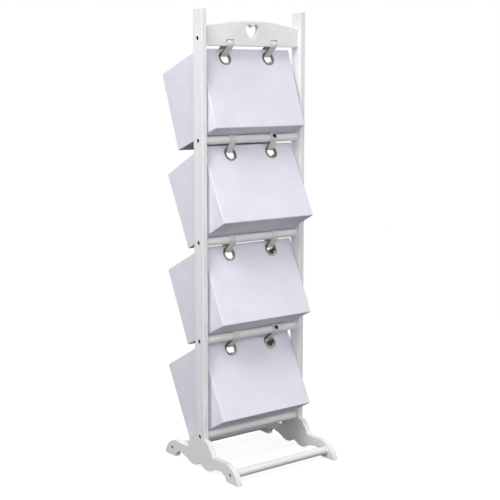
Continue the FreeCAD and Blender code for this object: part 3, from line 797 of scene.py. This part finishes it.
def make_strap(basket, side_name):
    """A strap in one length: round the bar, through the eyelet, its end lapped over its start."""
    belt, stud, centre, half_width = strap_belt(basket, side_name)
    first = stud - OVERLAP_HALF
    whole = belt.length + 2 * OVERLAP_HALF
    layer = STRAP_THICK - LAYER_PLAY

    def lift(distance):
        return STRAP_THICK * smoothstep(distance, belt.length - RAMP, belt.length - 1 * MM)

    def frame_at(distance):
        point, out = belt.at(first + distance)
        base = point + out * lift(distance)
        return Vector((centre, base.x, base.y)), Vector((0, out.x, out.y))

    ends = spaced(0.3 * MM, END_ROUNDING, 0.9 * MM)
    distances = ends + spaced(END_ROUNDING, whole - END_ROUNDING, 1.6 * MM)[1:-1]
    distances += [whole - distance for distance in reversed(ends)]
    stations = []
    for distance in distances:
        to_end = min(distance, whole - distance, END_ROUNDING)
        narrow = END_ROUNDING - math.sqrt(END_ROUNDING ** 2 - (END_ROUNDING - to_end) ** 2)
        stations.append((*frame_at(distance), narrow))
    builder = bmesh.new()
    sweep_band(builder, stations, half_width, layer)
    sweep_band(builder, inner_leg(basket, belt, centre), half_width - INNER_LEG_INSET,
               INNER_LEG_THICK)
    bmesh.ops.recalc_face_normals(builder, faces=builder.faces)
    piece = new_piece(f"{basket.name}_{side_name}_strap_leather", builder, basket.matrix,
                      [STRAP, STRAP_REVERSE_SHADED])
    basket.finish(piece, "strap_leather", side_name + "_strap")

    builder = bmesh.new()
    covered = 2 * OVERLAP_HALF
    row = half_width - STRAP_STITCH_INSET
    for distance in spaced(covered + 2 * MM, whole - 4 * MM, STRAP_STITCH_PITCH):
        base, out = frame_at(distance)
        ahead, _ = frame_at(distance + 0.2 * MM)
        along = (ahead - base).normalized()
        for across in (-row, row):
            middle = base + Vector((across, 0, 0)) + out * layer
            add_stitch(builder, middle, along, out, STRAP_STITCH_LENGTH, STRAP_STITCH_THICK)
    stitches = new_piece(f"{basket.name}_{side_name}_strap_stitches", builder, basket.matrix,
                         [STRAP_THREAD])
    basket.finish(stitches, "strap_leather")


def dress_basket(basket):
    """Everything that is seen of one basket."""
    make_cover(basket)
    make_lining(basket)
    make_hem_stitches(basket)
    for side_name in SIDES:
        make_strap(basket, side_name)
    for board in ("eyelet_board", "front_board", "end_boards", "base_board"):
        finish_node(f"{basket.name}_{board}", FIBREBOARD)
    make_eyelets(basket)
    finish_node(basket.name + "_press_studs", STUD_METAL)


# ---------------------------------------------------------------- studio

SKY_STRENGTH = 0.343
HORIZON = 0.15
FLOOR_EMISSION = 0.84
FLOOR_RADIUS = 9.0
FLOOR_FADE = (0.7, 2.2)
DOME_RADIUS = 25.0
LIGHT_TARGET = (0, 0, 0.6)

# Each softbox: its place and size in metres, and its power in watts.
SOFTBOXES = {
    "front": ((-1.9, -3.0, 1.2), 2.2, 50),
    "front_right": ((2.2, -2.6, 1.4), 2.2, 26.5),
    "left": ((-3.2, -0.3, 1.2), 2.2, 5),
    "high_left": ((-2.6, -1.0, 3.0), 2.0, 89),
    "right": ((3.1, 1.1, 1.5), 2.2, 48),
    "back": ((0.4, 3.3, 1.7), 2.4, 48),
}


def add_area_light(name, place, target, size, power):
    """A soft square light that points at a target."""
    light = bpy.data.lights.new(name, "AREA")
    light.shape = "SQUARE"
    light.size = size
    light.energy = power
    lamp = bpy.data.objects.new(name, light)
    bpy.context.scene.collection.objects.link(lamp)
    lamp.visible_camera = False
    lamp.location = place
    lamp.rotation_mode = "QUATERNION"
    lamp.rotation_quaternion = (Vector(target) - Vector(place)).to_track_quat("-Z", "Y")


def make_floor():
    """A pale floor that fades out into the white surroundings."""
    builder = bmesh.new()
    bmesh.ops.create_circle(builder, cap_ends=True, segments=96, radius=FLOOR_RADIUS)
    floor = new_piece("studio_floor", builder, Matrix.Translation((0, 0, -0.2 * MM)), [])
    finish = Finish("floor_white", {"Base Color": tone(140, 140, 140), "Roughness": 0.9,
                                    "Specular IOR Level": 0.1, "Emission Color": (1, 1, 1, 1),
                                    "Emission Strength": FLOOR_EMISSION})
    distance = finish.node("VectorMath", {0: finish.place}, operation="LENGTH").outputs["Value"]
    clear = finish.node("BsdfTransparent", {})
    mix = finish.node("MixShader", {"Fac": finish.between(distance, *FLOOR_FADE),
                                    1: finish.shader.outputs[0], 2: clear.outputs[0]})
    output = finish.tree.nodes["Material Output"]
    finish.tree.links.new(mix.outputs[0], output.inputs["Surface"])
    floor.data.materials.append(finish.material)
    floor.visible_diffuse = False
    floor.visible_glossy = False


def make_backdrop():
    """A plain white dome that the camera sees and that gives the rack no light."""
    builder = bmesh.new()
    bmesh.ops.create_icosphere(builder, subdivisions=4, radius=DOME_RADIUS)
    dome = new_piece("studio_dome", builder, Matrix.Identity(4), [])
    material = bpy.data.materials.new("dome_white")
    material.use_nodes = True
    tree = material.node_tree
    glow = tree.nodes.new("ShaderNodeEmission")
    glow.inputs["Color"].default_value = (1, 1, 1, 1)
    tree.links.new(glow.outputs[0], tree.nodes["Material Output"].inputs["Surface"])
    dome.data.materials.append(material)
    dome.visible_diffuse = False
    dome.visible_glossy = False
    dome.visible_transmission = False
    dome.visible_shadow = False


def make_studio():
    """Light from a pale sky and six softboxes, over a floor and inside a white dome."""
    scene = bpy.context.scene
    scene.view_settings.view_transform = "Standard"
    world = bpy.data.worlds.new("studio")
    scene.world = world
    world.use_nodes = True
    tree = world.node_tree
    direction = tree.nodes.new("ShaderNodeTexCoord").outputs["Generated"]
    height = tree.nodes.new("ShaderNodeSeparateXYZ")
    tree.links.new(direction, height.inputs[0])
    share = tree.nodes.new("ShaderNodeMapRange")
    for socket, value in (("From Min", -HORIZON), ("From Max", HORIZON),
                          ("To Max", SKY_STRENGTH)):
        share.inputs[socket].default_value = value
    tree.links.new(height.outputs["Z"], share.inputs["Value"])
    tree.links.new(share.outputs[0], tree.nodes["Background"].inputs["Strength"])
    tree.nodes["Background"].inputs["Color"].default_value = (1, 1, 1, 1)
    for name, (place, size, power) in SOFTBOXES.items():
        add_area_light(name, place, LIGHT_TARGET, size, power)
    make_floor()
    make_backdrop()


CAMERA_AZIMUTH = math.radians(-37.06)
CAMERA_ELEVATION = math.radians(7.84)
CAMERA_DISTANCE = 3.034
CAMERA_TARGET_X, CAMERA_TARGET_Z = -0.0023, 0.6559
CAMERA_SHIFT = -0.045
FOCAL_LENGTH = 78.98
SENSOR_WIDTH = 36.0


def make_camera():
    """A long lens from the front left, a little above the middle of the rack."""
    azimuth, elevation = CAMERA_AZIMUTH, CAMERA_ELEVATION
    target = Vector((CAMERA_TARGET_X, ladder_middle(), CAMERA_TARGET_Z))
    back = Vector((math.sin(azimuth) * math.cos(elevation),
                   -math.cos(azimuth) * math.cos(elevation), math.sin(elevation)))
    camera = bpy.data.cameras.new("camera")
    camera.lens = FOCAL_LENGTH
    camera.sensor_width = SENSOR_WIDTH
    camera.shift_y = CAMERA_SHIFT
    view = bpy.data.objects.new("camera", camera)
    bpy.context.scene.collection.objects.link(view)
    view.location = target + back * CAMERA_DISTANCE
    view.rotation_mode = "QUATERNION"
    view.rotation_quaternion = (-back).to_track_quat("-Z", "Y")
    bpy.context.scene.camera = view


def ladder_middle():
    """The Y of the ladder frame's middle plane, which is the bars' axis."""
    low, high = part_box("crossbar_1")
    return (low.y + high.y) / 2


dress_frame()
for tilt in frame["joints"]:
    dress_basket(Basket(tilt))
make_studio()
make_camera()
